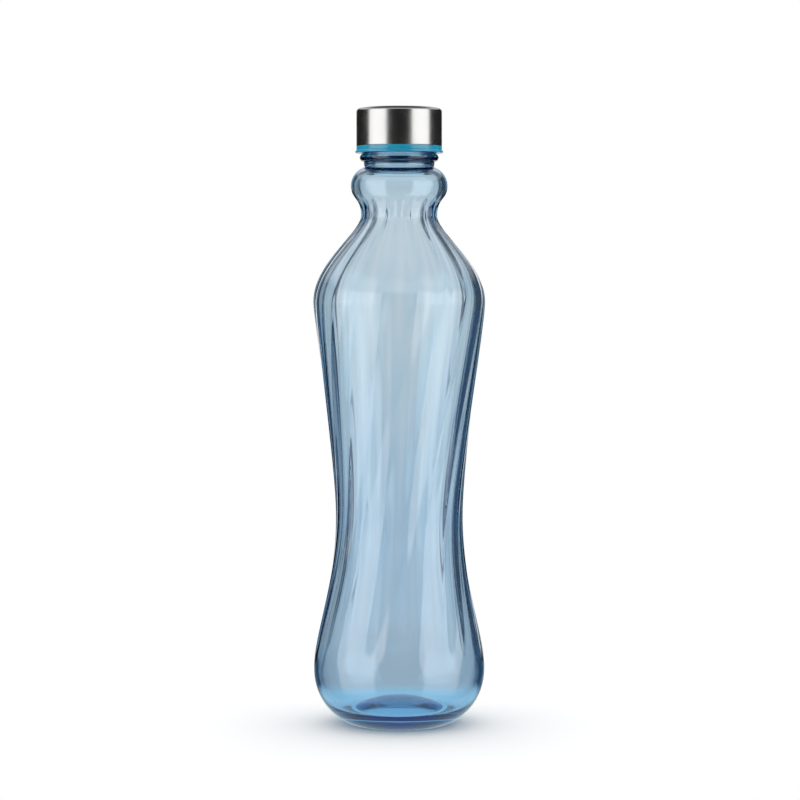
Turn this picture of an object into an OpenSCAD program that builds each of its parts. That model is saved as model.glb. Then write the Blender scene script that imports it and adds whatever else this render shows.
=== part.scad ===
// Swirl-fluted glass water bottle with a steel-skinned screw cap.
// The glass stands on Z = 0 and its axis is Z.

/* [Body] */
// Width across the shoulder, over the flute crests
shoulder_d = 88.2; // [70:0.2:120]
// Width across the waist, over the flute crests
waist_d = 65.4; // [50:0.2:100]
// Width across the hip
hip_d = 88; // [70:0.2:120]
// Outer width of the ring that the bottle stands on
foot_d = 49; // [36:0.2:70]
// Height of the hip above the table
hip_h = 28.5; // [20:0.5:40]
// Rise from the hip to the waist
waist_rise = 79; // [50:0.5:110]
// Rise from the waist to the shoulder
shoulder_rise = 109.5; // [70:0.5:150]
// Rise from the shoulder to the throat
throat_rise = 43.8; // [30:0.2:60]
// Thickness of the glass wall
wall = 2.8; // [1.8:0.1:4]
// Thickness of the glass floor
floor_t = 7.5; // [3:0.1:9]
// Height of the hollow under the floor
push_up = 5.5; // [3:0.1:12]

/* [Flutes] */
// Number of swirled flutes round the body
flute_count = 18; // [12:1:24]
// Depth of a flute below its crests
flute_depth = 0.75; // [0.2:0.05:1.2]
// Turn of a flute from the hip to the collar, in degrees
flute_twist = 52; // [20:1:90]

/* [Neck] */
// Width of the throat below the collar
throat_d = 39.5; // [34:0.1:48]
// Width of the collar, the rounded ring of glass below the cap
collar_d = 49.6; // [42:0.1:62]
// Rounding of the collar, seen from the side
collar_r = 10; // [7:0.1:12]
// Rise from the throat to the middle of the collar
collar_rise = 15.3; // [12:0.1:20]
// Height of the narrow groove between the collar and the bead
groove_h = 2.8; // [1.5:0.1:5]
// How far the bead under the cap stands out from the neck
bead_out = 2.3; // [1:0.1:3]
// Height of the bead
bead_h = 4; // [3:0.1:6]
// Glass thickness of the neck, from the thread's root to the bore
neck_wall = 3.7; // [2:0.1:5]

/* [Screw thread] */
// Width of the glass thread, crest to crest
thread_d = 38; // [30:0.1:46]
// Height of the thread above its root
thread_out = 1.1; // [0.8:0.1:1.6]
// Rise of the thread in one turn
pitch = 4.2; // [3.2:0.1:5.5]
// Length of the glass thread, in turns
thread_turns = 1.5; // [1:0.25:2.5]
// Gap between the glass and the cap, all over the thread
thread_gap = 0.35; // [0.3:0.05:0.5]

/* [Cap] */
// Length of the neck inside the cap, from the bead to the mouth
neck_in_cap = 19.6; // [17:0.1:26]
// Thickness of the steel shell
shell_t = 0.5; // [0.4:0.05:1]
// Outer corner rounding of the steel shell
shell_corner_r = 2; // [1.5:0.1:3]
// Wall thickness of the screw liner
liner_wall = 2.05; // [1.5:0.05:3]
// Thickness of the screw liner's top
liner_top_t = 1.5; // [1:0.1:3]
// Height of the coloured band below the steel
band_h = 3.4; // [2.5:0.1:5]
// How far the lip at the foot of the band stands out from the steel
lip_out = 0.55; // [0.3:0.05:1]
// Thickness of the seal disc
seal_t = 1.6; // [1:0.1:3]
// Gap round the seal disc
seal_gap = 0.3; // [0.3:0.05:0.6]

/* [Hidden] */
$fn = 96;

// Radii and heights of the body
hip_r = hip_d / 2;
waist_r = waist_d / 2;
shoulder_r = shoulder_d / 2;
throat_r = throat_d / 2;
collar_out_r = collar_d / 2;
foot_r = foot_d / 2;
foot_ring_w = 3.5;
waist_h = hip_h + waist_rise;
shoulder_h = waist_h + shoulder_rise;
throat_h = shoulder_h + throat_rise;
collar_h = throat_h + collar_rise;

// Radii and heights of the neck
crest_r = thread_d / 2;
root_r = crest_r - thread_out;
bore_r = root_r - neck_wall;
collar_mid_r = collar_out_r - collar_r;
groove_rise = sqrt(pow(collar_r, 2) - pow(root_r - collar_mid_r, 2));
groove_z = collar_h + groove_rise;
bead_z = groove_z + groove_h;
bead_top_z = bead_z + bead_h;
mouth_z = bead_top_z + neck_in_cap;
mouth_round = 0.9;
bore_foot_z = groove_z;

// Radii and heights of the cap
bead_gap = 0.4;
liner_in_r = crest_r + thread_gap;
liner_out_r = liner_in_r + liner_wall;
shell_out_r = liner_out_r + shell_t;
lip_r = shell_out_r + lip_out;
lip_h = 1.1;
liner_foot_z = bead_top_z + bead_gap;
shell_foot_z = liner_foot_z + band_h;
seal_top_z = mouth_z + seal_t;
liner_top_z = seal_top_z + liner_top_t;
shell_top_z = liner_top_z + shell_t;
seal_r = liner_in_r - seal_gap;
keeper_gap = 0.2;
keeper_h = 0.8;
keeper_in_r = root_r + thread_gap + 0.1;

// Thread rows: the glass ridge sits midway between the turns of the cap ridge
ridge_foot_w = 2;
ridge_crest_w = 0.9;
ridge_sink = 0.5;
ridge_fade = 40;
ridge_step = 10;
thread_below_mouth = 2.6;
cap_turns_less = 0.25;
glass_ridge_z = mouth_z - thread_below_mouth - ridge_foot_w / 2 - thread_turns * pitch;
cap_turns = thread_turns - cap_turns_less;
cap_ridge_z = glass_ridge_z - pitch / 2;

// How long each stretch of the side stays upright at its lower and upper end, as shares of its rise
hip_to_waist = [0.21, 0.42];
waist_to_shoulder = [0.27, 0.1];
shoulder_to_throat = [0.44, 0.19];
throat_to_collar = [0.62, 0.5];

// How long the heel stays upright below the hip, and how far it reaches in before the foot
heel_drop = 0.27;
heel_reach = 0.12;
inner_heel_drop = 0.58;
valley_drop = 0.5;
floor_spread = 2.5;

// The shape of the domed floor: how far out its top stays level and where its side meets the floor
dome_shape = [0.6, 0.75];

// How far round the collar the inside follows it, and how the inside then turns up into the bore
collar_turn = 65;
bore_lead = [1.4, 1.2];

// Where the flutes fade, as a share of the rise from the hip to the waist
flute_fade = 0.2;

// Steps of the curves, and the small step that hides where the flutes meet a plain round surface
curve_steps = 9;
heel_steps = 12;
neck_steps = 6;
flute_points = 4;
seam = 0.1;

// A point on a cubic curve with four control points
function bend(a, b, c, d, t) =
    pow(1 - t, 3) * a + 3 * pow(1 - t, 2) * t * b + 3 * (1 - t) * t * t * c + pow(t, 3) * d;

// Points along a curve that starts and ends upright, and stays so for the given shares of its rise
function upright(r1, z1, r2, z2, shares, steps) =
    [for (i = [0:steps]) bend([r1, z1], [r1, z1 + shares[0] * (z2 - z1)],
                              [r2, z2 - shares[1] * (z2 - z1)], [r2, z2], i / steps)];

// Points along a quarter curve, from upright at the first point to level at the second
function quarter(r1, z1, r2, z2, steps) =
    [for (i = [0:steps]) let (a = 90 * i / steps) [r2 + (r1 - r2) * cos(a), z1 + (z2 - z1) * sin(a)]];

// Points of a dome, from its top in the middle out to its edge
function dome(edge_r, top_z, edge_z) =
    [for (i = [0:heel_steps]) bend([0, top_z], [dome_shape[0] * edge_r, top_z],
                                   [dome_shape[1] * edge_r, edge_z], [edge_r, edge_z], i / heel_steps)];

// The same points, last first
function backwards(points) = [for (i = [len(points) - 1:-1:0]) points[i]];

function without_last(points) = [for (i = [0:len(points) - 2]) points[i]];

// The side of the body from the hip to the collar, inset by the given distance
function side(inset) = concat(
    without_last(upright(hip_r - inset, hip_h, waist_r - inset, waist_h, hip_to_waist, curve_steps)),
    without_last(upright(waist_r - inset, waist_h, shoulder_r - inset, shoulder_h, waist_to_shoulder,
                         curve_steps)),
    without_last(upright(shoulder_r - inset, shoulder_h, throat_r - inset, throat_h, shoulder_to_throat,
                         curve_steps)));

throat_curve = upright(throat_r, throat_h, collar_out_r, collar_h, throat_to_collar, curve_steps);
fluted_side = concat(side(0), throat_curve);

// Flutes fade in above the hip and out below the collar
function ease(t) = let (u = min(max(t, 0), 1)) u * u * (3 - 2 * u);
function flute_at(z) = flute_depth * ease((z - hip_h) / (flute_fade * waist_rise))
    * ease((collar_h - z) / collar_rise);
function twist_at(z) = flute_twist * (z - hip_h) / (collar_h - hip_h);

// The fluted body: rings of points that follow the swirl
module fluted_body() {
    ring = flute_count * flute_points;
    rows = len(fluted_side);
    points = [for (p = fluted_side) for (k = [0:ring - 1])
        let (a = 360 * k / ring,
             r = p[0] - flute_at(p[1]) * (1 - cos(flute_count * a)) / 2,
             b = a + twist_at(p[1]))
        [r * cos(b), r * sin(b), p[1]]];
    skin = [for (j = [0:rows - 2]) for (k = [0:ring - 1]) for (half = [0, 1])
        let (n = (k + 1) % ring, a = j * ring + k, b = j * ring + n, c = a + ring, d = b + ring)
        half == 0 ? [a, c, b] : [b, c, d]];
    bottom = [[for (k = [0:ring - 1]) k]];
    top = [[for (k = [ring - 1:-1:0]) (rows - 1) * ring + k]];
    polyhedron(points = points, faces = concat(skin, bottom, top), convexity = 6);
}

// The heel and foot below the flutes, with the hollow under the floor
module foot() {
    ring_in_r = foot_r - foot_ring_w;
    heel = [for (i = [0:heel_steps])
        bend([hip_r + seam, hip_h], [hip_r + seam, heel_drop * hip_h],
             [foot_r + heel_reach * (hip_r - foot_r), 0], [foot_r, 0], i / heel_steps)];
    hollow = backwards(dome(ring_in_r, push_up, 0));
    rotate_extrude() polygon(concat(heel, hollow, [[0, hip_h]]));
}

// The neck above the flutes: collar, groove, bead and the part inside the cap
module neck() {
    shoulder_arc = [for (i = [0:8])
        let (a = asin(groove_rise / collar_r) * i / 8)
        [collar_mid_r + seam + collar_r * cos(a), collar_h + collar_r * sin(a)]];
    bead = [for (i = [0:10]) let (a = -90 + 18 * i)
        [root_r + bead_out - bead_h / 2 + bead_h / 2 * cos(a), bead_z + bead_h / 2 + bead_h / 2 * sin(a)]];
    mouth = [for (i = [0:5]) let (a = 18 * i)
        [root_r - mouth_round * (1 - cos(a)), mouth_z - mouth_round * (1 - sin(a))]];
    rotate_extrude()
        polygon(concat(shoulder_arc, [[root_r, bead_z]], bead, [[root_r, bead_top_z]], mouth,
                       [[0, mouth_z], [0, collar_h]]));
}

// The hollow inside: floor, body, throat, collar and the straight bore of the mouth
module inside() {
    floor_r = foot_r + floor_spread;
    valley_z = floor_t - valley_drop;
    floor_curve = dome(floor_r, push_up + floor_t, valley_z);
    heel_curve = [for (i = [1:heel_steps])
        bend([floor_r, valley_z], [(floor_r + hip_r - wall) / 2, valley_z],
             [hip_r - wall, inner_heel_drop * hip_h], [hip_r - wall, hip_h], i / heel_steps)];
    inner_side = side(wall);
    throat_in_r = throat_r - wall;
    collar_in_r = collar_out_r - wall;
    inner_throat = without_last(upright(throat_in_r, throat_h, collar_in_r, collar_h,
                                        throat_to_collar, neck_steps));
    bend_r = collar_r - wall;
    bend_x = collar_out_r - collar_r;
    inner_collar = [for (i = [0:neck_steps - 1]) let (a = collar_turn * i / neck_steps)
        [bend_x + bend_r * cos(a), collar_h + bend_r * sin(a)]];
    turn_r = bend_x + bend_r * cos(collar_turn);
    turn_z = collar_h + bend_r * sin(collar_turn);
    into_bore = [for (i = [0:neck_steps])
        bend([turn_r, turn_z],
             [turn_r - bore_lead[0] * sin(collar_turn), turn_z + bore_lead[0] * cos(collar_turn)],
             [bore_r, bore_foot_z - bore_lead[1]], [bore_r, bore_foot_z], i / neck_steps)];
    inner_points = [for (i = [1:len(inner_side) - 1]) inner_side[i]];
    mouth = [for (i = [0:5]) let (a = 18 * i)
        [bore_r + mouth_round * (1 - cos(a)), mouth_z - mouth_round * (1 - sin(a))]];
    rotate_extrude()
        polygon(concat(floor_curve, heel_curve, inner_points, inner_throat, inner_collar, into_bore, mouth,
                       [[bore_r + mouth_round, mouth_z + 1], [0, mouth_z + 1]]));
}

// A screw ridge of a whole number of steps, from base_r, sunk in the wall that carries it, to top_r
module ridge(base_r, top_r, start_z, turns) {
    steps = round(turns * 360 / ridge_step);
    function grow(i) = max(0.02, min(1, i * ridge_step / ridge_fade, (steps - i) * ridge_step / ridge_fade));
    points = [for (i = [0:steps])
        let (a = i * ridge_step, z = start_z + pitch * a / 360, r = base_r + (top_r - base_r) * grow(i))
        for (p = [[base_r, -ridge_foot_w / 2], [r, -ridge_crest_w / 2],
                  [r, ridge_crest_w / 2], [base_r, ridge_foot_w / 2]])
        [p[0] * cos(a), p[0] * sin(a), z + p[1]]];
    inward = top_r < base_r;
    skin = [for (i = [0:steps - 1]) for (k = [0:3]) for (half = [0, 1])
        let (n = (k + 1) % 4, a = 4 * i + k, b = 4 * i + n, c = a + 4, d = b + 4)
        half == 0 ? [a, b, c] : [b, d, c]];
    ends = [[0, 3, 2, 1], [for (k = [0:3]) 4 * steps + k]];
    faces = concat(skin, ends);
    polyhedron(points = points, convexity = 4,
               faces = inward ? [for (f = faces) [for (k = [len(f) - 1:-1:0]) f[k]]] : faces);
}

module glass_bottle() {
    color([0.62, 0.76, 0.84, 0.5])
    difference() {
        union() {
            fluted_body();
            foot();
            neck();
            ridge(root_r - ridge_sink, crest_r, glass_ridge_z, thread_turns);
        }
        inside();
    }
}

module cap_shell() {
    inner_corner_r = shell_corner_r - shell_t;
    outer = quarter(shell_out_r, shell_top_z - shell_corner_r,
                    shell_out_r - shell_corner_r, shell_top_z, 8);
    inner = quarter(liner_out_r, liner_top_z - inner_corner_r,
                    liner_out_r - inner_corner_r, liner_top_z, 8);
    color([0.78, 0.78, 0.77])
    difference() {
        rotate_extrude()
            polygon(concat([[0, shell_foot_z], [shell_out_r, shell_foot_z]], outer, [[0, shell_top_z]]));
        rotate_extrude()
            polygon(concat([[0, shell_foot_z - 1], [liner_out_r, shell_foot_z - 1]], inner,
                           [[0, liner_top_z]]));
    }
}

module screw_liner() {
    corner_r = shell_corner_r - shell_t;
    outer = quarter(liner_out_r, liner_top_z - corner_r, liner_out_r - corner_r, liner_top_z, 8);
    keeper_z = mouth_z - keeper_gap;
    color([0.02, 0.45, 0.66])
    union() {
        difference() {
            rotate_extrude()
                polygon(concat([[0, liner_foot_z], [lip_r, liner_foot_z], [lip_r, liner_foot_z + lip_h],
                                [shell_out_r, liner_foot_z + lip_h], [shell_out_r, shell_foot_z],
                                [liner_out_r, shell_foot_z]], outer, [[0, liner_top_z]]));
            rotate_extrude()
                polygon([[0, liner_foot_z - 1], [liner_in_r, liner_foot_z - 1],
                         [liner_in_r, keeper_z - keeper_h], [keeper_in_r, keeper_z - keeper_h / 2],
                         [keeper_in_r, keeper_z - keeper_h / 4], [liner_in_r, keeper_z],
                         [liner_in_r, seal_top_z], [0, seal_top_z]]);
        }
        ridge(liner_in_r + ridge_sink, root_r + thread_gap, cap_ridge_z, cap_turns);
    }
}

module seal_disc() {
    color([0.9, 0.9, 0.88])
    translate([0, 0, mouth_z]) cylinder(r = seal_r, h = seal_t);
}

glass_bottle();
cap_shell();
screw_liner();
seal_disc();
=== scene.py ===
# %% [markdown]
# # A swirled glass water bottle with a steel screw cap
#
# The bottle is four real pieces: one blown piece of blue glass, a drawn steel cup, a blue
# plastic liner that carries the screw thread, and a soft seal. The frame in model.glb has
# already fixed where each one is and how big it is. This notebook gives each piece its finished
# surface, its material and its light, and never moves anything.

# %% Load the frame
import math

import bmesh
import bpy
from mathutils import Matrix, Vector


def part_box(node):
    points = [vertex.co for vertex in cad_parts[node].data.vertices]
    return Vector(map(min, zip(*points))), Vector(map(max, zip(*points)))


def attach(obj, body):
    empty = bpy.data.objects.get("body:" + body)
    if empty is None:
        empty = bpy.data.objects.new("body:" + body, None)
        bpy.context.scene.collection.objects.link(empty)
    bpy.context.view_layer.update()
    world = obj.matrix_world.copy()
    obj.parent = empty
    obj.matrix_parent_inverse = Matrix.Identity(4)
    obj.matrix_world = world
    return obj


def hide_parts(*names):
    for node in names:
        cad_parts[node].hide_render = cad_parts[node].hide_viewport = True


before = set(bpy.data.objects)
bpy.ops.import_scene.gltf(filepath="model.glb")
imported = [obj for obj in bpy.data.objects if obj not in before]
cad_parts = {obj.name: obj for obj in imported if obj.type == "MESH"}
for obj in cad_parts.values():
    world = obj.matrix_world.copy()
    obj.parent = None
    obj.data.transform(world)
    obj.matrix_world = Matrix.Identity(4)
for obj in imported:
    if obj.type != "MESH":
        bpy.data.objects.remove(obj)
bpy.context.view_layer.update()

# %% [markdown]
# ## Sizes
#
# Sizes are in metres. The places of the cap, the mouth and the seal are read from the frame,
# so they always agree with the design. The glass has no node of its own for each bend, so its
# stations are repeated here from the design: the hip, the waist, the shoulder, the throat and
# the collar, each with a radius and a height. So are the sizes of the foot, the neck, the
# thread and the walls of the cap.
#
# A pair of shares says how long a curve stays upright at its lower and its upper end.

# %% Sizes of the glass
MM = 0.001
glass_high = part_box("glass_bottle")[1]
shell_low, shell_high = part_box("cap_shell")
liner_low, liner_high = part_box("screw_liner")
seal_low, seal_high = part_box("seal_disc")

mouth_z = glass_high[2]
hip = Vector((44.0, 28.5)) * MM
waist = Vector((32.7, 107.5)) * MM
shoulder = Vector((44.1, 217.0)) * MM
throat = Vector((19.75, 260.8)) * MM
collar = Vector((24.8, 276.1)) * MM
side_shares = ((0.21, 0.42), (0.27, 0.1), (0.44, 0.19))
collar_shares = (0.62, 0.5)
foot_r = 24.5 * MM
foot_ring = 3.5 * MM
wall = 2.8 * MM
floor_t = 7.5 * MM
push_up = 5.5 * MM
floor_spread = 2.5 * MM
valley = floor_t - 0.5 * MM
dome_shares = (0.6, 0.75)
heel_reach = 0.12
heel_drop = 0.27
inner_heel_drop = 0.58
collar_round = 10.0 * MM
root_r = 17.9 * MM
bore_r = 14.2 * MM
groove_h = 2.8 * MM
bead_h = 4.0 * MM
bead_out = 2.3 * MM
mouth_round = 0.9 * MM
collar_turn = 65
turn_lead = 1.4 * MM
bore_lead = 1.2 * MM
groove_z = collar.y + math.sqrt(collar_round ** 2 - (root_r - collar.x + collar_round) ** 2)
bead_z = groove_z + groove_h

flute_count = 18
flute_depth = 0.75 * MM
flute_swirl = math.radians(52)
thread_out = 1.1 * MM
pitch = 4.2 * MM
thread_start = mouth_z - 9.9 * MM
thread_turns = 1.5
ridge_w = 2.2 * MM
ridge_crest_w = 0.7 * MM
print("mouth at", round(1000 * mouth_z, 1), "mm, bead at", round(1000 * bead_z, 1), "mm")

# %% [markdown]
# ## The camera
#
# A long lens from about 1.3 m away keeps the tall bottle upright. The eye is level with the
# shoulder, so the cap is seen from slightly below and the foot from above.

# %% Camera
camera_data = bpy.data.cameras.new("camera")
camera_data.lens = 112.5
camera_data.clip_start = 0.05
camera_data.clip_end = 50.0
camera = bpy.data.objects.new("camera", camera_data)
camera.location = (0.0004, -1.282, 0.2275)
camera.rotation_euler = (math.radians(90 - 2.725), 0.0, 0.0)
bpy.context.scene.collection.objects.link(camera)
bpy.context.scene.camera = camera
print("camera at", [round(v, 3) for v in camera.location])

# %% [markdown]
# ## Turning a profile
#
# Every piece here is round, so each starts as a profile turned about the axis, as a potter or
# a lathe does it. Blender's Screw modifier or a Spin would do the same. Making the rings of
# points directly gives even rings, closed poles and faces that point outwards.

# %% Profile helpers
def bend(a, b, c, d, t):
    """A point on a cubic curve with four control points."""
    return a * (1 - t) ** 3 + b * 3 * (1 - t) ** 2 * t + c * 3 * (1 - t) * t * t + d * t ** 3


def upright(p, q, lead, trail, steps):
    """A curve that leaves p and reaches q upright. lead and trail set how long it stays upright."""
    rise = q.y - p.y
    b = Vector((p.x, p.y + lead * rise))
    c = Vector((q.x, q.y - trail * rise))
    return [bend(p, b, c, q, i / steps) for i in range(steps + 1)]


def arc(centre, radius, start, end, steps):
    """Points on a circle, between two angles in degrees."""
    turns = [math.radians(start + (end - start) * i / steps) for i in range(steps + 1)]
    return [Vector((centre[0] + radius * math.cos(a), centre[1] + radius * math.sin(a))) for a in turns]


def even(points, gap):
    """The same line with its points no further apart than gap."""
    out = [points[0]]
    for p, q in zip(points, points[1:]):
        n = max(1, math.ceil((q - p).length / gap))
        out += [p.lerp(q, i / n) for i in range(1, n + 1)]
    return out


def tidy(points, least=1e-6):
    """The same line without its doubled points."""
    out = [points[0]]
    for p in points[1:]:
        if (p - out[-1]).length > least:
            out.append(p)
    return out


def turned(name, profile, around):
    """A closed round piece from a profile of (radius, height) points, outside first."""
    mesh = bmesh.new()
    rings = []
    for p in tidy(profile):
        if p.x < 1e-7:
            rings.append([mesh.verts.new((0, 0, p.y))])
            continue
        turn = [2 * math.pi * k / around for k in range(around)]
        rings.append([mesh.verts.new((p.x * math.cos(a), p.x * math.sin(a), p.y)) for a in turn])
    if len(rings[0]) > 1:
        rings.append(rings[0])
    for low, high in zip(rings, rings[1:]):
        for k in range(around):
            n = (k + 1) % around
            corners = [low[k % len(low)], low[n % len(low)], high[n % len(high)], high[k % len(high)]]
            face = list(dict.fromkeys(corners))
            if len(face) > 2:
                mesh.faces.new(face)
    bmesh.ops.recalc_face_normals(mesh, faces=mesh.faces)
    data = bpy.data.meshes.new(name)
    mesh.to_mesh(data)
    mesh.free()
    data.shade_smooth()
    piece = bpy.data.objects.new(name, data)
    bpy.context.scene.collection.objects.link(piece)
    print(name, "turned with", len(data.polygons), "faces")
    return piece


# %% [markdown]
# ## The glass: profile
#
# The bottle is one piece of glass, so it is one closed surface: under the foot, up the
# outside, over the mouth, and down the inside to the floor. The outside is a chain of smooth
# curves that stand upright at the hip, waist, shoulder, throat and collar. The inside follows
# it one wall thickness in, but softer, because the inside never touched the mould.

# %% Glass profile
def body_side(inset, steps):
    """The side from the hip to the throat, moved inwards by inset."""
    stations = [Vector((p.x - inset, p.y)) for p in (hip, waist, shoulder, throat)]
    side = []
    for p, q, (lead, trail) in zip(stations, stations[1:], side_shares):
        side += upright(p, q, lead, trail, steps)
    return side


def dome(edge_r, top, edge, steps):
    """A dome, from its top in the middle out to its edge."""
    flat, foot = dome_shares
    return [bend(Vector((0, top)), Vector((flat * edge_r, top)), Vector((foot * edge_r, edge)),
                 Vector((edge_r, edge)), i / steps) for i in range(steps + 1)]


def glass_outside():
    ring_in = foot_r - foot_ring
    hollow = dome(ring_in, push_up, 0.0, 24)
    heel_steps = 30
    heel = [bend(Vector((foot_r, 0)), Vector((foot_r + heel_reach * (hip.x - foot_r), 0)),
                 Vector((hip.x, heel_drop * hip.y)), hip, i / heel_steps) for i in range(heel_steps + 1)]
    ring_top = arc((collar.x - collar_round, collar.y), collar_round,
                   0, math.degrees(math.asin((groove_z - collar.y) / collar_round)), 14)
    bead = arc((root_r + bead_out - bead_h / 2, bead_z + bead_h / 2), bead_h / 2, -90, 90, 14)
    mouth = arc((root_r - mouth_round, mouth_z - mouth_round), mouth_round, 0, 90, 10)
    neck = even([Vector((root_r, bead_z + bead_h)), mouth[0]], 0.38 * MM)
    return (hollow + heel + even(body_side(0, 30), 2.4 * MM) + upright(throat, collar, *collar_shares, 18)
            + ring_top + bead + neck + mouth)


def glass_inside():
    floor_r = foot_r + floor_spread
    hip_in = Vector((hip.x - wall, hip.y))
    heel_steps = 20
    heel = [bend(Vector((floor_r, valley)), Vector(((floor_r + hip_in.x) / 2, valley)),
                 Vector((hip_in.x, inner_heel_drop * hip.y)), hip_in, i / heel_steps)
            for i in range(heel_steps + 1)]
    throat_in = Vector((throat.x - wall, throat.y))
    collar_in = Vector((collar.x - wall, collar.y))
    ring = arc((collar.x - collar_round, collar.y), collar_round - wall, 0, collar_turn, 12)
    on = (ring[-1] - ring[-2]).normalized()
    bore_foot = Vector((bore_r, groove_z))
    turn_steps = 12
    into_bore = [bend(ring[-1], ring[-1] + turn_lead * on, bore_foot - Vector((0, bore_lead)), bore_foot,
                      i / turn_steps) for i in range(turn_steps + 1)]
    mouth = arc((bore_r + mouth_round, mouth_z - mouth_round), mouth_round, 90, 180, 10)
    neck = upright(throat_in, collar_in, *collar_shares, 18) + ring + into_bore
    going_up = dome(floor_r, push_up + floor_t, valley, 20) + heel + body_side(wall, 18) + neck
    return mouth + going_up[::-1]


around = flute_count * 12
glass = turned("blown_glass", glass_outside() + glass_inside(), around)

# %% [markdown]
# ## The glass: flutes and thread
#
# Eighteen shallow flutes swirl up the outside, and a screw ridge winds round the neck. Cutting
# them with a Boolean or joining a helix on would leave seams, and glass shows every seam. Both
# follow a rule, so a Geometry Nodes tree makes them by moving the points of the turned shape
# straight out from the axis, and the skin stays whole. The flutes are a wave round the bottle
# whose phase turns with height, and they fade out at the hip and the collar. The wave is part
# round and part sharp at its crests, as pressed flutes are. The inside follows it by a quarter,
# because it only met air. The numbers are inputs of the tree, so the count, the depth and the
# swirl can each be tried alone.

# %% Geometry Nodes helpers
class Sums:
    """Short names for the sums in a node tree, so that a formula reads like one."""

    def __init__(self, tree):
        self.tree = tree

    def node(self, kind, **settings):
        made = self.tree.nodes.new(kind)
        for key, value in settings.items():
            setattr(made, key, value)
        return made

    def wire(self, value, socket):
        if isinstance(value, bpy.types.NodeSocket):
            self.tree.links.new(value, socket)
        else:
            socket.default_value = value

    def do(self, operation, *values):
        made = self.node("ShaderNodeMath", operation=operation)
        for value, socket in zip(values, made.inputs):
            self.wire(value, socket)
        return made.outputs[0]

    def blend(self, share, first, second):
        """The first value where share is 0, the second where it is 1."""
        kept = self.do("MULTIPLY", first, self.do("SUBTRACT", 1.0, share))
        return self.do("ADD", kept, self.do("MULTIPLY", second, share))

    def span(self, share, low, high):
        """A value that runs from low to high as share runs from 0 to 1."""
        return self.do("ADD", low, self.do("MULTIPLY", share, high - low))

    def ramp(self, value, low, high):
        """0 below low, 1 above high, and a soft rise between."""
        made = self.node("ShaderNodeMapRange", interpolation_type="SMOOTHSTEP")
        for key, item in (("Value", value), ("From Min", low), ("From Max", high)):
            self.wire(item, made.inputs[key])
        return made.outputs[0]


def named_tree(name, sizes):
    """A Geometry Nodes tree with one mesh input and a named number for each size."""
    tree = bpy.data.node_groups.new(name, "GeometryNodeTree")
    tree.interface.new_socket("Geometry", in_out="INPUT", socket_type="NodeSocketGeometry")
    for label, value in sizes.items():
        socket = tree.interface.new_socket(label, in_out="INPUT", socket_type="NodeSocketFloat")
        socket.default_value = value
    tree.interface.new_socket("Geometry", in_out="OUTPUT", socket_type="NodeSocketGeometry")
    return tree


def settle(piece, tree, sizes):
    """Runs the tree on the piece, keeps the result as a plain mesh and removes the modifier."""
    modifier = piece.modifiers.new(tree.name, "NODES")
    modifier.node_group = tree
    for item in tree.interface.items_tree:
        if item.in_out == "INPUT" and item.name in sizes:
            modifier[item.identifier] = sizes[item.name]
    bpy.context.view_layer.update()
    seen = piece.evaluated_get(bpy.context.evaluated_depsgraph_get())
    result = bpy.data.meshes.new_from_object(seen)
    piece.modifiers.remove(modifier)
    piece.data = result
    piece.data.name = piece.name
    return piece


# %% Screw ridge as a rule
ridge_fade = 0.11


def ridge_height(sums, angle, height, start, inputs):
    """How high the ridge stands at a point, as a share: a rounded step along a climbing line.

    The line climbs one pitch a turn, and the ridge fades over the first and last part of a turn.
    """
    pitch, turns, width, crest = (inputs[k] for k in ("Pitch", "Turns", "Ridge width", "Crest width"))
    turn = sums.do("DIVIDE", angle, 2 * math.pi)
    climb = sums.do("SUBTRACT", sums.do("DIVIDE", sums.do("SUBTRACT", height, start), pitch), turn)
    lap = sums.do("ROUND", climb)
    off = sums.do("MULTIPLY", sums.do("ABSOLUTE", sums.do("SUBTRACT", climb, lap)), pitch)
    along = sums.do("ADD", lap, turn)
    flank = sums.ramp(off, sums.do("DIVIDE", crest, 2.0), sums.do("DIVIDE", width, 2.0))
    step = sums.do("SUBTRACT", 1.0, flank)
    fade_in = sums.ramp(along, 0.0, ridge_fade)
    fade_out = sums.ramp(sums.do("SUBTRACT", turns, along), 0.0, ridge_fade)
    return sums.do("MULTIPLY", step, sums.do("MULTIPLY", fade_in, fade_out))


def polar(sums):
    """The angle, from 0 to a full turn, the distance from the axis and the height of a point."""
    place = sums.node("GeometryNodeInputPosition").outputs[0]
    parts = sums.node("ShaderNodeSeparateXYZ")
    sums.wire(place, parts.inputs[0])
    x, y, z = parts.outputs
    angle = sums.do("FLOORED_MODULO", sums.do("ARCTAN2", y, x), 2 * math.pi)
    away = sums.do("SQRT", sums.do("ADD", sums.do("MULTIPLY", x, x), sums.do("MULTIPLY", y, y)))
    return x, y, z, angle, away


def push_out(sums, geometry, x, y, away, distance):
    """Moves each point straight out from the axis by the given distance."""
    scale = sums.do("DIVIDE", distance, sums.do("MAXIMUM", away, 1e-6))
    shift = sums.node("ShaderNodeCombineXYZ")
    sums.wire(sums.do("MULTIPLY", x, scale), shift.inputs[0])
    sums.wire(sums.do("MULTIPLY", y, scale), shift.inputs[1])
    move = sums.node("GeometryNodeSetPosition")
    sums.wire(geometry, move.inputs["Geometry"])
    sums.wire(shift.outputs[0], move.inputs["Offset"])
    return move.outputs[0]


def end_tree(sums, geometry, material):
    """Closes a tree: loose instances become real, and the material goes on."""
    real = sums.node("GeometryNodeRealizeInstances")
    sums.wire(geometry, real.inputs[0])
    paint = sums.node("GeometryNodeSetMaterial")
    paint.inputs["Material"].default_value = material
    sums.wire(real.outputs[0], paint.inputs["Geometry"])
    out = sums.node("NodeGroupOutput")
    sums.wire(paint.outputs[0], out.inputs[0])


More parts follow.
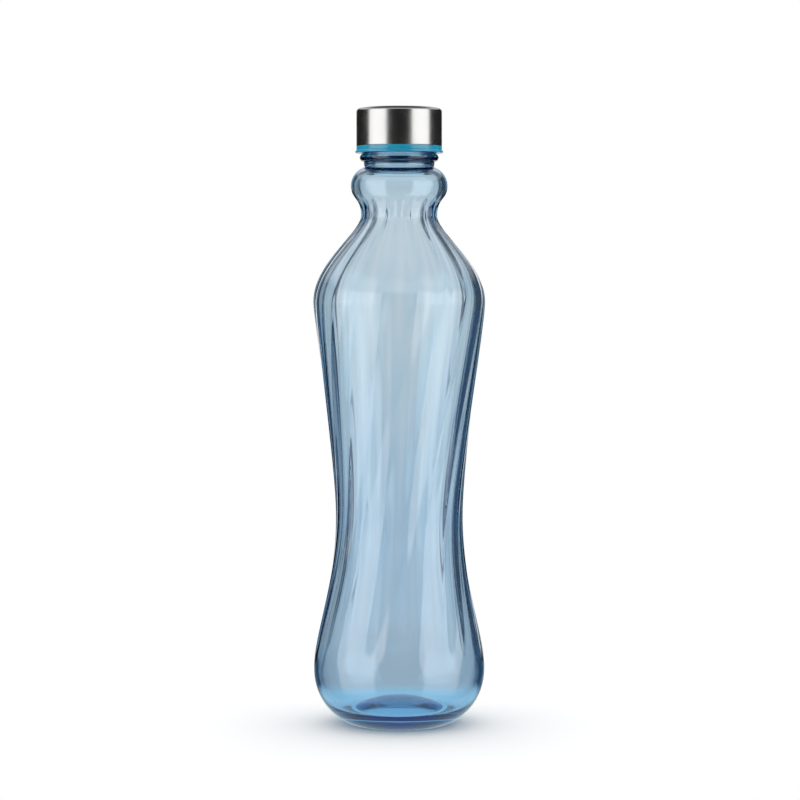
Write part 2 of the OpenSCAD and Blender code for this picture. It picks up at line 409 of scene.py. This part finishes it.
def mark_skin(piece, count, around):
    """Marks the first rings of points as the outside, for the tree to find."""
    skin = piece.data.attributes.new("skin", "FLOAT", "POINT")
    first = 1 if piece.data.vertices[0].co.xy.length < 1e-7 else 0
    outside = first + (count - first) * around
    for i, mark in enumerate(skin.data):
        mark.value = 1.0 if i < outside else 0.0
    print(piece.name, "has", outside, "of its", len(skin.data), "points outside")


# %% Flutes and thread on the glass
glass_sizes = {
    "Flute count": float(flute_count), "Flute depth": flute_depth, "Crispness": 0.55,
    "Crest rounding": 0.004, "Flute start": hip.y, "Flute end": collar.y, "Swirl": flute_swirl,
    "Fade at hip": 16 * MM, "Fade at collar": collar.y - throat.y, "Inside share": 0.25,
    "Thread start": thread_start, "Thread height": thread_out, "Pitch": pitch,
    "Turns": thread_turns, "Ridge width": ridge_w, "Crest width": ridge_crest_w,
}


def flute_tree(material):
    tree = named_tree("Swirled flutes and screw thread", glass_sizes)
    sums = Sums(tree)
    inputs = sums.node("NodeGroupInput").outputs
    x, y, z, angle, away = polar(sums)
    skin = sums.node("GeometryNodeInputNamedAttribute", data_type="FLOAT")
    skin.inputs["Name"].default_value = "skin"
    climbed = sums.do("SUBTRACT", z, inputs["Flute start"])
    span = sums.do("SUBTRACT", inputs["Flute end"], inputs["Flute start"])
    swirl = sums.do("MULTIPLY", inputs["Swirl"], sums.do("DIVIDE", climbed, span))
    phase = sums.do("MULTIPLY", sums.do("SUBTRACT", angle, swirl), inputs["Flute count"])
    round_wave = sums.do("DIVIDE", sums.do("SUBTRACT", 1.0, sums.do("COSINE", phase)), 2.0)
    crisp_wave = sums.do("SQRT", sums.do("ADD", round_wave, inputs["Crest rounding"]))
    wave = sums.blend(inputs["Crispness"], round_wave, crisp_wave)
    near_hip = sums.ramp(climbed, 0.0, inputs["Fade at hip"])
    near_top = sums.ramp(sums.do("SUBTRACT", inputs["Flute end"], z), 0.0, inputs["Fade at collar"])
    depth = sums.do("MULTIPLY", inputs["Flute depth"], sums.do("MULTIPLY", near_hip, near_top))
    flute = sums.do("MULTIPLY", sums.do("MULTIPLY", wave, depth), -1.0)
    ridge = sums.do("MULTIPLY", inputs["Thread height"],
                    ridge_height(sums, angle, z, inputs["Thread start"], inputs))
    inner = sums.do("MULTIPLY", flute, inputs["Inside share"])
    outer = sums.do("ADD", flute, ridge)
    share = skin.outputs[0]
    both = sums.do("ADD", sums.do("MULTIPLY", outer, share),
                   sums.do("MULTIPLY", inner, sums.do("SUBTRACT", 1.0, share)))
    end_tree(sums, push_out(sums, inputs["Geometry"], x, y, away, both), material)
    return tree


# %% [markdown]
# ## Glass that is blue all through
#
# The colour of the glass is in its depth, not on its surface. The walls look pale and the
# foot, where the light goes through far more glass, is a strong blue. A clear shader with an
# absorbing volume does exactly that. A tint on the surface would colour both the same. A very
# low, wide ripple in the bump is the soft waviness of blown glass.

# %% Material helpers
def fresh_material(name):
    made = bpy.data.materials.new(name)
    made.use_nodes = True
    made.node_tree.nodes.clear()
    sums = Sums(made.node_tree)
    shader = sums.node("ShaderNodeBsdfPrincipled")
    out = sums.node("ShaderNodeOutputMaterial")
    sums.wire(shader.outputs[0], out.inputs["Surface"])
    return made, sums, shader, out


def placed(sums, scale):
    """The place of a point on the piece, stretched by scale, for a pattern to read."""
    coordinates = sums.node("ShaderNodeTexCoord")
    mapping = sums.node("ShaderNodeMapping")
    mapping.inputs["Scale"].default_value = scale
    sums.wire(coordinates.outputs["Object"], mapping.inputs["Vector"])
    return mapping.outputs[0]


def noise(sums, vector, scale, detail=2.0):
    made = sums.node("ShaderNodeTexNoise")
    sums.wire(vector, made.inputs["Vector"])
    made.inputs["Scale"].default_value = scale
    made.inputs["Detail"].default_value = detail
    return made.outputs["Fac"]


def span_of(sums, value, low, high):
    """Stretches a 0 to 1 pattern to run from low to high."""
    made = sums.node("ShaderNodeMapRange")
    sums.wire(value, made.inputs["Value"])
    made.inputs["To Min"].default_value = low
    made.inputs["To Max"].default_value = high
    return made.outputs[0]


def bumped(sums, shader, height, strength, distance):
    made = sums.node("ShaderNodeBump")
    made.inputs["Strength"].default_value = strength
    made.inputs["Distance"].default_value = distance
    sums.wire(height, made.inputs["Height"])
    sums.wire(made.outputs[0], shader.inputs["Normal"])


# %% Blue glass
def blue_glass():
    made, sums, shader, out = fresh_material("blue_glass")
    shader.inputs["Base Color"].default_value = (1, 1, 1, 1)
    shader.inputs["Transmission Weight"].default_value = 1.0
    shader.inputs["IOR"].default_value = 1.5
    ripple = noise(sums, placed(sums, (1, 1, 0.35)), 55.0, 1.0)
    bumped(sums, shader, ripple, 0.14, 0.4 * MM)
    smear = noise(sums, placed(sums, (1, 1, 1)), 18.0, 3.0)
    sums.wire(span_of(sums, smear, 0.0, 0.004), shader.inputs["Roughness"])
    depth = sums.node("ShaderNodeVolumeAbsorption")
    depth.inputs["Color"].default_value = (0.103, 0.555, 0.79, 1)
    depth.inputs["Density"].default_value = 145.0
    sums.wire(depth.outputs[0], out.inputs["Volume"])
    return made


glass_material = blue_glass()
mark_skin(glass, len(tidy(glass_outside())), around)
settle(glass, flute_tree(glass_material), glass_sizes)
glass.data.shade_smooth()
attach(glass, "bottle")
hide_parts("glass_bottle")
print("glass has", len(glass.data.polygons), "faces")

# %% [markdown]
# ## The steel shell
#
# The shell is a thin cup pressed from sheet, so it has a rounded top corner, an even wall and a
# lower edge that is rounded over its whole thickness. A cylinder with Bevel and Solidify would
# do, but a profile of both faces keeps the wall and the corner exact. Brushing runs round the
# cup on its side and in circles on its top, and it softens the edge of each highlight. The
# fine lines are noise read by height and by distance from the axis, so they close on themselves.

# %% Steel shell
shell_r = shell_high[0]
shell_t = 0.5 * MM
shell_corner = 2.0 * MM


def shell_profile():
    top, foot = shell_high[2], shell_low[2]
    edge = shell_t / 2
    outer = arc((shell_r - shell_corner, top - shell_corner), shell_corner, 90, 0, 16)
    hem = arc((shell_r - edge, foot + edge), edge, 0, -180, 12)
    inner = arc((shell_r - shell_corner, top - shell_corner), shell_corner - shell_t, 0, 90, 12)
    flat = Vector((shell_r - shell_corner - 1.2 * MM, top))
    side = Vector((shell_r, foot + 2 * shell_t))
    return [Vector((0, top)), flat, *outer, side, *hem, *inner, Vector((0, top - shell_t))]


shell = turned("steel_shell", shell_profile(), 180)


def height_and_reach(sums):
    """The height of a point on the piece, and its distance from the axis."""
    parts = sums.node("ShaderNodeSeparateXYZ")
    sums.wire(placed(sums, (1, 1, 1)), parts.inputs[0])
    x, y, z = parts.outputs
    away = sums.do("SQRT", sums.do("ADD", sums.do("MULTIPLY", x, x), sums.do("MULTIPLY", y, y)))
    return z, away


def brushed_steel():
    made, sums, shader, out = fresh_material("brushed_steel")
    shader.inputs["Metallic"].default_value = 1.0
    shader.inputs["Anisotropic"].default_value = 0.6
    z, away = height_and_reach(sums)
    stroke = sums.node("ShaderNodeCombineXYZ")
    sums.wire(away, stroke.inputs[0])
    sums.wire(z, stroke.inputs[2])
    lines = noise(sums, stroke.outputs[0], 9000.0, 2.0)
    cloud = noise(sums, placed(sums, (1, 1, 1)), 160.0, 3.0)
    tone = sums.node("ShaderNodeMix", data_type="RGBA")
    sums.wire(span_of(sums, lines, 0.2, 0.8), tone.inputs["Factor"])
    tone.inputs["A"].default_value = (0.31, 0.308, 0.304, 1)
    tone.inputs["B"].default_value = (0.40, 0.397, 0.390, 1)
    sums.wire(tone.outputs["Result"], shader.inputs["Base Color"])
    rough = sums.do("ADD", span_of(sums, lines, 0.10, 0.26), span_of(sums, cloud, -0.03, 0.05))
    sums.wire(rough, shader.inputs["Roughness"])
    bumped(sums, shader, lines, 0.06, 0.02 * MM)
    return made


shell.data.materials.append(brushed_steel())
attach(shell, "cap")
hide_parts("cap_shell")

# %% [markdown]
# ## The screw liner
#
# The liner is moulded plastic. Its band and its thin lip show as a bright blue ring below the
# steel, and its inside carries the screw ridge that grips the glass. The ridge could be a swept
# profile joined on, but the rule that made the ridge of the neck is at hand, so the same rule
# makes this one, pointing inwards and half a pitch lower. The plastic is glossy and lets a
# little light in, which a touch of subsurface light gives.

# %% Screw liner
liner_top = shell_high[2] - shell_t
liner_foot = liner_low[2]
lip_r = liner_high[0]
liner_in_r = 19.35 * MM
liner_out_r = shell_r - shell_t
keeper_r = 18.35 * MM
keeper_h = 0.8 * MM
seal_top = seal_high[2]


def liner_outside():
    corner = 1.5 * MM
    soft = 0.25 * MM
    lip_h = 1.1 * MM
    top = [Vector((0, liner_top)), *arc((liner_out_r - corner, liner_top - corner), corner, 90, 0, 10)]
    band = [Vector((liner_out_r, shell_low[2])), Vector((shell_r - soft, shell_low[2])),
            *arc((shell_r - soft, shell_low[2] - soft), soft, 90, 0, 5),
            *arc((shell_r + soft, liner_foot + lip_h + soft), soft, 180, 270, 5)]
    lip = [*arc((lip_r - soft, liner_foot + lip_h - soft), soft, 90, 0, 5),
           *arc((lip_r - soft, liner_foot + soft), soft, 0, -90, 5)]
    return top + band + lip


def liner_inside():
    soft = 0.4 * MM
    keeper_z = mouth_z - 0.2 * MM
    skirt = [*arc((liner_in_r + soft, liner_foot + soft), soft, -90, -180, 6)]
    straight = even([skirt[-1], Vector((liner_in_r, keeper_z - keeper_h))], 0.2 * MM)
    keeper = [Vector((keeper_r, keeper_z - keeper_h / 2)), Vector((keeper_r, keeper_z - keeper_h / 4)),
              Vector((liner_in_r, keeper_z)), Vector((liner_in_r, seal_top)), Vector((0, seal_top))]
    return skirt + straight + keeper


liner_around = 180
liner = turned("screw_liner_blue", liner_outside() + liner_inside(), liner_around)
liner_sizes = {
    "Thread start": thread_start - pitch / 2, "Thread height": -thread_out, "Pitch": pitch,
    "Turns": thread_turns - 0.25, "Ridge width": ridge_w, "Crest width": ridge_crest_w,
}


def liner_tree(material):
    tree = named_tree("Screw thread inside the cap", liner_sizes)
    sums = Sums(tree)
    inputs = sums.node("NodeGroupInput").outputs
    x, y, z, angle, away = polar(sums)
    skin = sums.node("GeometryNodeInputNamedAttribute", data_type="FLOAT")
    skin.inputs["Name"].default_value = "skin"
    ridge = ridge_height(sums, angle, z, inputs["Thread start"], inputs)
    inside = sums.do("SUBTRACT", 1.0, skin.outputs[0])
    distance = sums.do("MULTIPLY", sums.do("MULTIPLY", inputs["Thread height"], ridge), inside)
    end_tree(sums, push_out(sums, inputs["Geometry"], x, y, away, distance), material)
    return tree


def blue_plastic():
    made, sums, shader, out = fresh_material("blue_liner_plastic")
    shader.inputs["Subsurface Weight"].default_value = 0.25
    shader.inputs["Subsurface Radius"].default_value = (0.2, 0.6, 1.0)
    shader.inputs["Subsurface Scale"].default_value = 1.5 * MM
    shader.inputs["Coat Weight"].default_value = 0.3
    shader.inputs["Coat Roughness"].default_value = 0.08
    cloud = noise(sums, placed(sums, (1, 1, 1)), 140.0, 3.0)
    tone = sums.node("ShaderNodeMix", data_type="RGBA")
    sums.wire(cloud, tone.inputs["Factor"])
    tone.inputs["A"].default_value = (0.0, 0.23, 0.38, 1)
    tone.inputs["B"].default_value = (0.008, 0.30, 0.45, 1)
    sums.wire(tone.outputs["Result"], shader.inputs["Base Color"])
    grain = noise(sums, placed(sums, (1, 1, 1)), 1800.0, 2.0)
    sums.wire(span_of(sums, grain, 0.2, 0.34), shader.inputs["Roughness"])
    bumped(sums, shader, grain, 0.08, 0.05 * MM)
    return made


liner_material = blue_plastic()
mark_skin(liner, len(tidy(liner_outside())), liner_around)
settle(liner, liner_tree(liner_material), liner_sizes)
liner.data.shade_smooth()
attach(liner, "cap")
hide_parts("screw_liner")

# %% [markdown]
# ## The seal
#
# A soft disc sits in the roof of the liner and is pressed on the rim of the glass. It has a
# rounded edge and shallow moulded rings, and it shows when the cap is off. A plain cylinder
# would do for a hidden piece, but the profile costs little and gives the rings their grooves.

# %% Seal disc
seal_r = seal_high[0]


def seal_profile():
    low, high = seal_low[2], seal_high[2]
    soft = 0.35 * MM
    edge = [*arc((seal_r - soft, low + soft), soft, -90, 0, 6),
            *arc((seal_r - soft, high - soft), soft, 0, 90, 6)]
    groove = ((-0.5, 0), (-0.25, 0.12), (0.25, 0.12), (0.5, 0))
    rings = []
    for centre in (5, 8, 11):
        for away, sunk in groove:
            rings.append(Vector(((centre + away) * MM, low + sunk * MM)))
    return [Vector((0, low)), *rings, *edge, Vector((0, high))]


seal = turned("soft_seal", seal_profile(), 144)


def soft_rubber():
    made, sums, shader, out = fresh_material("soft_seal_rubber")
    shader.inputs["Subsurface Weight"].default_value = 0.2
    shader.inputs["Subsurface Scale"].default_value = 1.0 * MM
    cloud = noise(sums, placed(sums, (1, 1, 1)), 220.0, 3.0)
    tone = sums.node("ShaderNodeMix", data_type="RGBA")
    sums.wire(cloud, tone.inputs["Factor"])
    tone.inputs["A"].default_value = (0.74, 0.75, 0.73, 1)
    tone.inputs["B"].default_value = (0.84, 0.85, 0.83, 1)
    sums.wire(tone.outputs["Result"], shader.inputs["Base Color"])
    grain = noise(sums, placed(sums, (1, 1, 1)), 2600.0, 2.0)
    sums.wire(span_of(sums, grain, 0.45, 0.6), shader.inputs["Roughness"])
    bumped(sums, shader, grain, 0.15, 0.05 * MM)
    return made


seal.data.materials.append(soft_rubber())
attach(seal, "seal")
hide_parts("seal_disc")

# %% [markdown]
# ## The floor
#
# The bottle stands on a small round white table. What the eye sees of it is plain matt white
# with a soft shadow. The glass sees a pale blue glow under the foot instead, which fades out
# away from the bottle. It stands in for the light that a white table sends up through thick
# glass, and it lights the foot without lighting the whole table.

# %% Floor
table_r = 0.24
table_around = 128
glow_fade = (0.05, 0.10)


def table_mesh():
    turn = [2 * math.pi * k / table_around for k in range(table_around)]
    rim = [(table_r * math.cos(a), table_r * math.sin(a), 0) for a in turn]
    data = bpy.data.meshes.new("floor")
    data.from_pydata(rim, [], [tuple(range(table_around))])
    return data


def table_paint():
    """Matt white to the eye, and a pale blue glow under the foot to all other light."""
    made, sums, shader, out = fresh_material("white_floor")
    shader.inputs["Base Color"].default_value = (0.9, 0.9, 0.9, 1)
    shader.inputs["Roughness"].default_value = 0.9
    shader.inputs["Specular IOR Level"].default_value = 0.0
    glow = sums.node("ShaderNodeEmission")
    glow.inputs["Color"].default_value = (0.62, 0.86, 1.0, 1)
    glow.inputs["Strength"].default_value = 0.96
    clear = sums.node("ShaderNodeBsdfTransparent")
    away = sums.node("ShaderNodeVectorMath", operation="LENGTH")
    sums.wire(sums.node("ShaderNodeNewGeometry").outputs["Position"], away.inputs[0])
    under = sums.node("ShaderNodeMixShader")
    sums.wire(sums.ramp(away.outputs["Value"], *glow_fade), under.inputs[0])
    sums.wire(glow.outputs[0], under.inputs[1])
    sums.wire(clear.outputs[0], under.inputs[2])
    either = sums.node("ShaderNodeMixShader")
    sums.wire(sums.node("ShaderNodeLightPath").outputs["Is Camera Ray"], either.inputs[0])
    sums.wire(under.outputs[0], either.inputs[1])
    sums.wire(shader.outputs[0], either.inputs[2])
    sums.wire(either.outputs[0], out.inputs["Surface"])
    return made


floor = bpy.data.objects.new("floor", table_mesh())
bpy.context.scene.collection.objects.link(floor)
floor.data.materials.append(table_paint())
print("floor disc of radius", table_r, "m")

# %% [markdown]
# ## The room
#
# Glass and steel have no look of their own: they show the room. So the room is where the look
# of this bottle is made. It is one world shader, which keeps it soft and free of noise. Seen
# straight it is white. Dull surfaces are lit by an even sky, a little brighter from behind,
# which leaves only a soft shadow. Gloss and glass see a studio: two tall soft lights beside the
# camera make the bright bands on the steel and the veils in the glass, a white wall stands
# behind, and the gaps between them are dark and draw the edges.
#
# The list gives each wall, by the angle round the bottle: its middle, its half width and its
# soft edge in degrees, its brightness in a reflection and its brightness through glass. A soft
# light hangs high up all round. Through glass a pale table shows below, the walls are a little
# warm, and a faint blue haze fills the dark, which keeps the glass clear instead of black.
# Lamps would do for the steel, but glass needs a whole room to show.

# %% Room
walls = (
    (0, 16, 4, 1.0, 1.0),
    (45, 12, 5, 0.0, 0.6),
    (90, 12, 5, 0.0, 0.6),
    (119, 27, 3, 2.8, 2.0),
    (241, 27, 3, 2.8, 2.0),
)
dark_in_gloss = 0.02
dark_in_glass = 0.10
low_wall = 0.72
ceiling_in_gloss = 1.1
zenith_in_gloss = 0.15
ceiling_in_glass = 0.5
table_in_glass = 0.7
sky = 1.2
sky_behind = 1.6 * sky
haze_colour = (0.0, 0.36, 1.0, 1)
cool = (0.97, 0.96, 0.95, 1)
warm = (0.95, 0.86, 0.80, 1)

# Where one brightness gives way to the next, as the upward part of the direction of view
low_edge = (-0.11, 0.0)
foot_edge = (-0.16, -0.10)
gloss_ceiling_edge = (0.3, 0.42)
zenith_edge = (0.62, 0.8)
glass_ceiling_edge = (0.55, 0.8)
table_edge = (0.27, 0.37)


def wall_at(sums, turn, centre, half, soft):
    """1 on a wall and 0 off it, by the angle round the bottle."""
    off = sums.do("FLOORED_MODULO", sums.do("SUBTRACT", turn, centre - 180.0), 360.0)
    off = sums.do("ABSOLUTE", sums.do("SUBTRACT", off, 180.0))
    return sums.do("SUBTRACT", 1.0, sums.ramp(off, half - soft, half + soft))


def studio_light(sums, turn, z, in_glass):
    """The brightness of the studio in a direction, in a reflection or through glass."""
    studio = sums.span(in_glass, dark_in_gloss, dark_in_glass)
    for centre, half, soft, gloss, glass in walls:
        bright = sums.span(in_glass, gloss, glass)
        lit = sums.do("MULTIPLY", wall_at(sums, turn, centre, half, soft), bright)
        studio = sums.do("MAXIMUM", studio, lit)
    studio = sums.do("MULTIPLY", studio, sums.span(sums.ramp(z, *low_edge), low_wall, 1.0))
    above = sums.blend(in_glass, sums.ramp(z, *gloss_ceiling_edge), sums.ramp(z, *glass_ceiling_edge))
    over_gloss = sums.span(sums.ramp(z, *zenith_edge), ceiling_in_gloss, zenith_in_gloss)
    studio = sums.blend(above, studio, sums.blend(in_glass, over_gloss, ceiling_in_glass))
    below = sums.do("MULTIPLY", sums.ramp(sums.do("MULTIPLY", z, -1.0), *table_edge), in_glass)
    return sums.blend(below, studio, table_in_glass)


def glass_tint(sums, z, in_view):
    """White in a reflection; through glass a little warm, and cooler low on the walls."""
    under_foot = sums.span(sums.ramp(z, *foot_edge), 0.75, 0.0)
    tint = sums.node("ShaderNodeMix", data_type="RGBA")
    sums.wire(sums.do("MAXIMUM", sums.ramp(z, *low_edge), under_foot), tint.inputs["Factor"])
    tint.inputs["A"].default_value = cool
    tint.inputs["B"].default_value = warm
    tinted = sums.node("ShaderNodeMix", data_type="RGBA")
    sums.wire(in_view, tinted.inputs["Factor"])
    tinted.inputs["A"].default_value = (1, 1, 1, 1)
    sums.wire(tint.outputs["Result"], tinted.inputs["B"])
    return tinted.outputs["Result"]


def room():
    world = bpy.data.worlds.new("studio")
    bpy.context.scene.world = world
    world.use_nodes = True
    world.node_tree.nodes.clear()
    sums = Sums(world.node_tree)
    parts = sums.node("ShaderNodeSeparateXYZ")
    sums.wire(sums.node("ShaderNodeTexCoord").outputs["Generated"], parts.inputs[0])
    x, y, z = parts.outputs
    turn = sums.do("MULTIPLY", sums.do("ARCTAN2", sums.do("MULTIPLY", x, -1.0), y), 180 / math.pi)
    path = sums.node("ShaderNodeLightPath")
    in_glass = path.outputs["Is Transmission Ray"]
    studio = studio_light(sums, turn, z, in_glass)

    dull = sums.do("MINIMUM", path.outputs["Diffuse Depth"], 1.0)
    seen = path.outputs["Is Camera Ray"]
    other = sums.do("SUBTRACT", 1.0, sums.do("MAXIMUM", dull, seen))
    in_view = sums.do("MULTIPLY", other, in_glass)
    open_sky = sums.do("MULTIPLY", dull, sums.span(y, sky, sky_behind))
    strength = sums.do("ADD", sums.do("ADD", sums.do("MULTIPLY", studio, other), open_sky), seen)

    back = sums.node("ShaderNodeBackground")
    sums.wire(glass_tint(sums, z, in_view), back.inputs["Color"])
    sums.wire(strength, back.inputs["Strength"])
    haze = sums.node("ShaderNodeBackground")
    haze.inputs["Color"].default_value = haze_colour
    haze_light = sums.span(sums.ramp(z, *low_edge), 0.11, 0.04)
    sums.wire(sums.do("MULTIPLY", in_view, haze_light), haze.inputs["Strength"])
    both = sums.node("ShaderNodeAddShader")
    sums.wire(back.outputs[0], both.inputs[0])
    sums.wire(haze.outputs[0], both.inputs[1])
    out = sums.node("ShaderNodeOutputWorld")
    sums.wire(both.outputs[0], out.inputs["Surface"])
    print("room with", len(walls), "walls")


room()
bpy.context.scene.view_settings.view_transform = "Standard"
bpy.context.scene.cycles.max_bounces = 24
bpy.context.scene.cycles.transmission_bounces = 20
bpy.context.scene.cycles.glossy_bounces = 12
